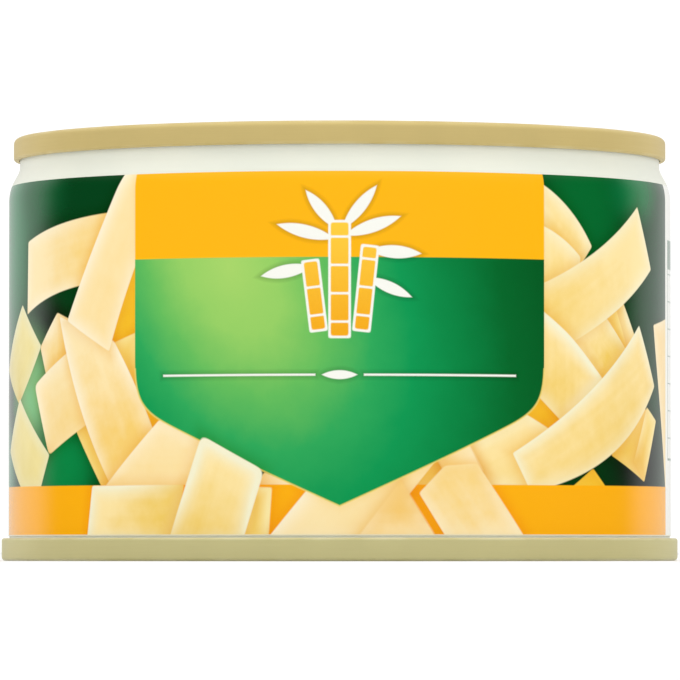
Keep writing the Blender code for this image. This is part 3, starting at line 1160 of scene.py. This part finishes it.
@dataclass
class Lid:
    """A seamed lid: curled seam, chuck wall, countersink, and a panel that steps up twice."""

    name: str
    node: str
    slot: str
    finish: Finish
    wall_radius: float
    seam_corner: float
    upside_down: bool = False
    sheet: float = 0.25 * MM
    seam_height: float = 2.9 * MM
    countersink_depth: float = 3.7 * MM
    countersink_width: float = 1.6 * MM
    panel_depth: float = 2.6 * MM
    step: float = 0.5 * MM
    step_radii: tuple[float, ...] = (34.0 * MM, 26.5 * MM)
    step_run: float = 1.0 * MM
    step_rounding: float = 0.9 * MM
    centre_bead: float = 9.0 * MM
    bead_height: float = 0.18 * MM
    bead_halves: tuple[float, float] = (0.4 * MM, 0.9 * MM)
    bead_roundings: tuple[float, float] = (0.5 * MM, 0.8 * MM)
    chuck_inset: float = 0.75 * MM
    groove_draft: float = 0.15 * MM
    groove_roundings: tuple[float, float] = (0.55 * MM, 0.6 * MM)
    shoulder_run: float = 0.35 * MM
    seam_inner_corner: float = 0.34 * MM
    lip_rounding: float = 0.3 * MM
    lip_gap: float = 0.12 * MM
    segments: int = 288
    piece: bpy.types.Object = field(init=False)

    def outside(self, seam_radius: float) -> list[Corner]:
        """The lid's outside from its centre to its lip, with the seam's top at height 0.

        Args:
            seam_radius: The outside radius of the seam.

        Returns:
            Its corners in order.
        """
        chuck = self.wall_radius - self.chuck_inset
        groove_outer = chuck - self.groove_draft
        groove_inner = groove_outer - self.countersink_width
        middle = -self.panel_depth + len(self.step_radii) * self.step
        crest, (crest_half, foot_half) = middle + self.bead_height, self.bead_halves
        crest_rounding, foot_rounding = self.bead_roundings
        corners = [
            Corner(0.0, middle),
            Corner(self.centre_bead - foot_half, middle, foot_rounding),
            Corner(self.centre_bead - crest_half, crest, crest_rounding),
            Corner(self.centre_bead + crest_half, crest, crest_rounding),
            Corner(self.centre_bead + foot_half, middle, foot_rounding),
        ]
        for inside, radius in reversed(list(enumerate(self.step_radii))):
            height = -self.panel_depth + inside * self.step
            corners.append(Corner(radius - self.step_run, height + self.step, self.step_rounding))
            corners.append(Corner(radius, height, self.step_rounding))
        return corners + [
            Corner(groove_inner - self.shoulder_run, -self.panel_depth, self.groove_roundings[1]),
            Corner(groove_inner + self.groove_draft, -self.countersink_depth, self.groove_roundings[0]),
            Corner(groove_outer, -self.countersink_depth, self.groove_roundings[1]),
            Corner(chuck, 0.0, self.seam_inner_corner),
            Corner(seam_radius, 0.0, self.seam_corner),
            Corner(seam_radius, -self.seam_height, self.lip_rounding),
            Corner(self.wall_radius + self.lip_gap, -self.seam_height),
        ]

    def build(self) -> None:
        """Makes the lid where its CAD node is."""
        low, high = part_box(self.node)
        corners = self.outside(high.x)
        outline = rounded(corners) + rounded(offset_corners(corners, self.sheet))[::-1]
        if self.upside_down:
            outline = [(radius, low.z - height) for radius, height in outline][::-1]
        else:
            outline = [(radius, high.z + height) for radius, height in outline]
        self.piece = lathe(self.name, outline, self.segments)

    def dress(self) -> None:
        """Lacquers the lid and fixes it to the can."""
        self.piece.data.materials.append(self.finish.material())
        attach(self.piece, self.slot, self.node)


@dataclass
class BodyShell:
    """The welded body: a wall that necks in under the upper seam, and the lap of its side weld."""

    wall_radius: float = 42.66 * MM
    neck_radius: float = 41.35 * MM
    sheet: float = 0.2 * MM
    segments: int = 288
    hem_height: float = 1.2 * MM
    hem_out: float = 0.3 * MM
    weld_width: float = 1.1 * MM
    weld_height: float = 0.09 * MM
    weld_sink: float = 0.05 * MM
    weld_crown: float = 0.7
    weld_top_gap: float = 0.3 * MM
    weld_foot: float = 48.0
    shoulder: tuple[Point, ...] = (
        (41.35, 50.65),
        (41.42, 50.3),
        (41.58, 49.9),
        (41.8, 49.5),
        (42.0, 49.15),
        (42.2, 48.8),
        (42.36, 48.4),
        (42.47, 47.9),
        (42.56, 47.4),
        (42.62, 46.9),
        (42.66, 46.3),
    )
    shell: bpy.types.Object = field(init=False)
    weld: bpy.types.Object = field(init=False)

    def build(self) -> None:
        """Makes the wall with its hems, and the weld's lap up the back."""
        low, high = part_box("can_body")
        hem, out = self.hem_height, self.hem_out
        outside = [
            (self.neck_radius + out, high.z),
            (self.neck_radius + out, high.z - hem),
            (self.neck_radius, high.z - hem),
            *((radius * MM, height * MM) for radius, height in self.shoulder),
            (self.wall_radius, low.z + hem),
            (self.wall_radius + out, low.z + hem),
            (self.wall_radius + out, low.z),
        ]
        inside = [
            (self.neck_radius - self.sheet, high.z),
            *((radius * MM - self.sheet, height * MM) for radius, height in self.shoulder),
            (self.wall_radius - self.sheet, low.z),
        ]
        self.shell = lathe("body_shell", outside + inside[::-1], self.segments)
        self.weld = self._build_weld(high.z - hem - self.weld_top_gap)

    def _build_weld(self, top: float) -> bpy.types.Object:
        """The low ridge that the weld leaves on the neck at the back.

        Args:
            top: How high it goes.

        Returns:
            The ridge.
        """
        line = [(self.neck_radius, top)]
        line += [(radius * MM, height * MM) for radius, height in self.shoulder if height > self.weld_foot]
        half = self.weld_width / 2
        crown, rise, sink = half * self.weld_crown, self.weld_height, -self.weld_sink
        across = ((-half, sink), (-crown, rise), (crown, rise), (half, sink))
        vertices = []
        for radius, height in line:
            vertices += [(x, math.sqrt(radius * radius - x * x) + out, height) for x, out in across]
        faces = []
        places = []
        for index in range(len(line) - 1):
            for side in range(4):
                a, b = index * 4 + side, index * 4 + (side + 1) % 4
                faces.append((a, b, b + 4, a + 4))
                low, high = index / len(line), (index + 1) / len(line)
                left, right = side / 4, (side + 1) / 4
                places += [(left, low), (right, low), (right, high), (left, high)]
        last = (len(line) - 1) * 4
        faces.append((3, 2, 1, 0))
        faces.append((last, last + 1, last + 2, last + 3))
        places += [(0.0, 0.97), (0.02, 0.97), (0.02, 0.99), (0.0, 0.99)] * 2
        return mesh_piece("side_weld", vertices, faces, places)

    def dress(self) -> None:
        """Enamels the body and fixes both pieces to the can."""
        self.shell.data.materials.append(EnamelFinish("white_enamel").material())
        attach(self.shell, "body_enamel", "can_body")
        self.weld.data.materials.append(WeldFinish("bare_weld").material())
        attach(self.weld, "body_enamel")


@dataclass
class PaperWrap:
    """The printed paper, one turn round the body and on over its own hidden edge."""

    outer_radius: float = 42.80 * MM
    paper: float = 0.10 * MM
    start: float = math.radians(-112.5)
    lap: float = math.radians(11.25)
    step_out: float = 0.13 * MM
    bottom: float = 3.15 * MM
    top: float = 48.2 * MM
    steps: int = 360
    flat_rows: int = 14
    lap_ramp: float = math.radians(2.5)
    split: float = math.radians(90.0)
    map_left: float = 0.01
    map_width: float = 0.98
    map_overlap: float = 0.02
    front_row: Point = (0.08, 0.44)
    back_row: Point = (0.545, 0.44)
    bare_row: Point = (0.015, 0.045)
    curl: tuple[Point, ...] = (
        (46.2, 0.0),
        (46.7, 0.02),
        (47.1, 0.07),
        (47.5, 0.14),
        (47.8, 0.22),
        (48.0, 0.28),
        (48.2, 0.35),
    )
    piece: bpy.types.Object = field(init=False)

    def profile(self) -> list[Point]:
        """The wrap's outside from its bottom edge up, as radius and height."""
        flat_top = self.curl[0][0] * MM
        rise = (flat_top - self.bottom) / self.flat_rows
        line = [(self.outer_radius, self.bottom + rise * row) for row in range(self.flat_rows)]
        line += [(self.outer_radius - inwards * MM, height * MM) for height, inwards in self.curl]
        return line

    def lift(self, angle: float) -> float:
        """How far the wrap stands out at this angle from its hidden edge, to pass over that edge."""
        lap_start = FULL_TURN - self.lap_ramp
        share = min(max((angle - lap_start) / self.lap_ramp, 0.0), 1.0)
        return self.step_out * share * share * (3 - 2 * share)

    def build(self) -> None:
        """Makes the wrap with its thickness, printed side out."""
        profile = self.profile()
        total = FULL_TURN + self.lap
        angles = [total * step / self.steps for step in range(self.steps + 1)]
        vertices = []
        for inwards in (0.0, self.paper):
            for angle in angles:
                bearing = self.start + angle
                for radius, height in profile:
                    size = radius - inwards + self.lift(angle)
                    vertices.append((size * math.sin(bearing), -size * math.cos(bearing), height))
        rows = len(profile)
        inner = len(angles) * rows
        faces: list[tuple[int, ...]] = []
        places: list[Point] = []
        printed = self.steps * (rows - 1)
        for step in range(self.steps):
            for row in range(rows - 1):
                a = step * rows + row
                faces.append((a, a + rows, a + rows + 1, a + 1))
                places += self._map_places(angles, profile, step, row, printed=True)
        for step in range(self.steps):
            for row in range(rows - 1):
                a = inner + step * rows + row
                faces.append((a, a + 1, a + rows + 1, a + rows))
                square = self._map_places(angles, profile, step, row, printed=False)
                places += [square[0], square[3], square[2], square[1]]
        for step in range(self.steps):
            for row, upward in ((0, False), (rows - 1, True)):
                a, b = step * rows + row, (step + 1) * rows + row
                loop = (a, b, inner + b, inner + a)
                faces.append(loop if upward else loop[::-1])
                places += [(0.01, 0.005), (0.02, 0.005), (0.02, 0.01), (0.01, 0.01)]
        for row in range(rows - 1):
            for base, forward in ((0, False), (self.steps * rows, True)):
                a = base + row
                loop = (a, inner + a, inner + a + 1, a + 1)
                faces.append(loop if forward else loop[::-1])
                places += [(0.03, 0.005), (0.04, 0.005), (0.04, 0.01), (0.03, 0.01)]
        self.piece = mesh_piece("paper_wrap", vertices, faces, places)
        for index, polygon in enumerate(self.piece.data.polygons):
            polygon.material_index = 0 if index < printed else 1

    def _map_places(
        self, angles: list[float], profile: list[Point], step: int, row: int, printed: bool
    ) -> list[Point]:
        """The places of one quad's corners on the map for baking.

        Args:
            angles: The wrap's angles from its hidden edge.
            profile: Its profile.
            step: The quad's place round the wrap.
            row: Its place up the wrap.
            printed: Whether it is on the printed side, which has most of the map.

        Returns:
            The four places, in the order of a printed quad's corners.
        """
        cut = self.split - self.start
        overlap = self.map_overlap
        if not printed:
            shares = [angles[s] / angles[-1] for s in (step, step + 1)]
            foot, tall = self.bare_row
        elif (angles[step] + angles[step + 1]) / 2 < cut:
            shares = [min(angles[s], cut + overlap) / (cut + overlap) for s in (step, step + 1)]
            foot, tall = self.front_row
        else:
            rest = angles[-1] - cut + overlap
            shares = [max(angles[s] - cut + overlap, 0.0) / rest for s in (step, step + 1)]
            foot, tall = self.back_row
        left, right = (self.map_left + self.map_width * share for share in shares)
        rises = [(profile[r][1] - self.bottom) / (self.top - self.bottom) for r in (row, row + 1)]
        low, high = (foot + tall * rise for rise in rises)
        return [(left, low), (right, low), (right, high), (left, high)]

    def dress(self) -> None:
        """Prints the outside, leaves the back bare paper, and fixes the wrap to the can."""
        self.piece.data.materials.append(WrapFinish("printed_wrap").material())
        self.piece.data.materials.append(BARE_PAPER.material())
        attach(self.piece, "label_paper", "label")


@dataclass
class HiddenParts:
    """What is inside the can: its seams' compound and the sliced shoots, as the CAD has them."""

    nodes: dict[str, bpy.types.Object]

    def dress(self) -> int:
        """Gives each its finish.

        Returns:
            How many there are.
        """
        finishes = {
            "seam_compound": GrainFinish("grey_compound").material(),
            "shoot_slice": ShootFinish("shoot_flesh_cut").material(),
        }
        dressed = 0
        for name, node in sorted(self.nodes.items()):
            for part, material in finishes.items():
                if part in name:
                    for slot in node.material_slots:
                        slot.material = material
                    dressed += 1
        return dressed


# ---------------------------------------------------------------- studio


@dataclass
class Studio:
    """A pale floor, soft light all round, and the camera."""

    floor_half: float = 6.0
    camera_distance: float = 916.65 * MM
    camera_height: float = 1.22 * MM
    aim_height: float = 28.55 * MM
    aim_side: float = 0.05 * MM
    lens: float = 375.1
    near_limit: float = 0.01
    far_limit: float = 50.0
    ambient: float = 1.12
    behind: float = 0.78
    behind_from: Point = (0.40, 0.66)
    above_from: Point = (0.30, 0.85)
    light_size: float = 0.9
    light_aim: tuple[float, float, float] = (0.0, 0.0, 0.03)

    def build_floor(self) -> None:
        """Lays the floor at the can's foot."""
        low, _ = CAD_BOX
        half = self.floor_half
        corners = [(-half, -half, low.z), (half, -half, low.z), (half, half, low.z), (-half, half, low.z)]
        places = [(0.0, 0.0), (1.0, 0.0), (1.0, 1.0), (0.0, 1.0)]
        floor = mesh_piece("studio_floor", corners, [(0, 1, 2, 3)], places)
        floor.data.materials.append(FloorFinish("pale_floor").material())
        floor.visible_glossy = False

    def build_world(self) -> None:
        """White all round; polished surfaces see it bright behind and above, and dark in front."""
        world = bpy.data.worlds.new("studio")
        world.use_nodes = True
        world.node_tree.nodes.clear()
        graph = Graph(world.node_tree)
        direction = graph.field(graph.node("ShaderNodeTexCoord", {}, {}), "Generated")
        _, ahead, upward = graph.split(direction)
        behind = graph.ease(ahead, *self.behind_from) * self.behind
        above = graph.ease(upward, *self.above_from)
        polished = graph.larger(behind, above)
        rays = graph.node("ShaderNodeLightPath", {}, {})
        seen = graph.field(rays, "Is Glossy Ray")
        level = seen * polished + (1 - seen) * self.ambient
        shader = graph.node("ShaderNodeBackground", {}, {"Color": (1.0, 1.0, 1.0, 1.0), "Strength": level})
        graph.node("ShaderNodeOutputWorld", {}, {"Surface": graph.field(shader)})
        world.cycles.sampling_method = "NONE"
        bpy.context.scene.world = world

    def add_softbox(self, name: str, place: tuple[float, float, float], power: float) -> None:
        """A large square light aimed at the can.

        Args:
            name: Its name.
            place: Where it hangs, in metres.
            power: Its power in watts.
        """
        light = bpy.data.lights.new(name, "AREA")
        light.shape = "SQUARE"
        light.size = self.light_size
        light.energy = power
        lamp = bpy.data.objects.new(name, light)
        lamp.location = place
        lamp.rotation_euler = (Vector(self.light_aim) - Vector(place)).to_track_quat("-Z", "Y").to_euler()
        lamp.visible_glossy = False
        lamp.visible_camera = False
        bpy.context.scene.collection.objects.link(lamp)

    def build_camera(self) -> None:
        """Sets the camera low in front, looking slightly up."""
        data = bpy.data.cameras.new("camera")
        data.lens = self.lens
        data.sensor_width = 36.0
        data.clip_start = self.near_limit
        data.clip_end = self.far_limit
        camera = bpy.data.objects.new("camera", data)
        place = Vector((0.0, -self.camera_distance, self.camera_height))
        aim = Vector((self.aim_side, 0.0, self.aim_height))
        camera.location = place
        camera.rotation_euler = (aim - place).to_track_quat("-Z", "Y").to_euler()
        bpy.context.scene.collection.objects.link(camera)
        bpy.context.scene.camera = camera

    def build(self) -> None:
        """Sets the whole studio up."""
        self.build_floor()
        self.build_world()
        self.add_softbox("key_light", (-1.0, -0.7, 1.0), 2.4)
        self.add_softbox("fill_light", (1.05, -0.6, 0.7), 2.0)
        self.add_softbox("back_light", (0.2, 1.1, 0.9), 1.4)
        self.build_camera()
        bpy.context.scene.view_settings.view_transform = "Standard"


def main() -> None:
    """Builds and dresses the can, then the studio round it."""
    logging.basicConfig(level=logging.INFO, format="%(name)s: %(message)s")
    makers = (
        BodyShell(),
        Lid("top_lid", "top_end", "gold_lacquer", GOLD_LACQUER, 41.35 * MM, 0.8 * MM),
        Lid("base_lid", "bottom_end", "khaki_lacquer", KHAKI_LACQUER, 42.45 * MM, 0.5 * MM, upside_down=True),
        PaperWrap(),
    )
    for maker in makers:
        maker.build()
        maker.dress()
        log.info("built %s", type(maker).__name__)
    log.info("dressed %d hidden parts", HiddenParts(frame["nodes"]).dress())
    Studio().build()
    log.info("built the studio")


if __name__ == "__main__":
    main()
